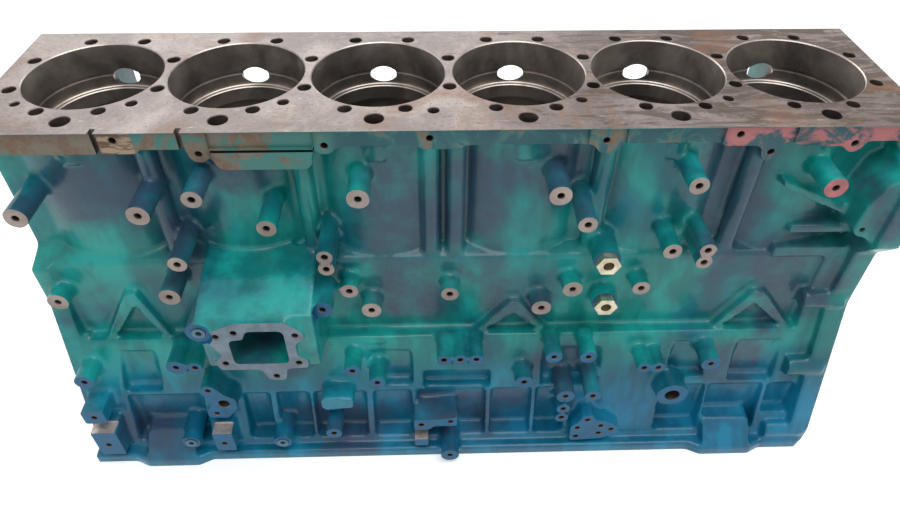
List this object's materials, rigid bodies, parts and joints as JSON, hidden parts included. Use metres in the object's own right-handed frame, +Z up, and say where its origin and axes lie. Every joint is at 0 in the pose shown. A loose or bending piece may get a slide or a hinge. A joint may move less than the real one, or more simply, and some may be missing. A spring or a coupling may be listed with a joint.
{
  "type": "in-line six cylinder block",
  "caption": "Bare cast-iron cylinder block of an in-line diesel engine, with open wet-liner bores, bossed side wall, square port flange and main bearing caps.",
  "frame": {"origin": "on the pan rail plane, midway between the two ends and between the two sides", "axes": "+X along the crankshaft towards the gear end, +Z up to the head deck, -Y out of the side with the square port"},
  "size_m": [1.034, 0.426, 0.508],
  "materials": {
    "painted_casting": "worn teal paint over rough cast iron, bare machined faces, rust stains",
    "bare_cast_iron": "bare machined cast iron",
    "black_steel": "phosphated steel",
    "plated_steel": "yellow passivated steel",
    "plug_steel": "oiled steel"
  },
  "bodies": {
    "root": {"cylinder_block": "painted_casting", "main_cap_1": "bare_cast_iron", "main_cap_2": "bare_cast_iron", "main_cap_3": "bare_cast_iron", "main_cap_4": "bare_cast_iron", "main_cap_5": "bare_cast_iron", "main_cap_6": "bare_cast_iron", "main_cap_7": "bare_cast_iron", "main_cap_bolt_1_near": "black_steel", "main_cap_bolt_1_far": "black_steel", "main_cap_bolt_2_near": "black_steel", "main_cap_bolt_2_far": "black_steel", "main_cap_bolt_3_near": "black_steel", "main_cap_bolt_3_far": "black_steel", "main_cap_bolt_4_near": "black_steel", "main_cap_bolt_4_far": "black_steel", "main_cap_bolt_5_near": "black_steel", "main_cap_bolt_5_far": "black_steel", "main_cap_bolt_6_near": "black_steel", "main_cap_bolt_6_far": "black_steel", "main_cap_bolt_7_near": "black_steel", "main_cap_bolt_7_far": "black_steel", "hose_union_upper": "plated_steel", "hose_union_lower": "plated_steel", "side_plugs": "plug_steel", "gallery_plugs": "plug_steel"}
  },
  "joints": []
}
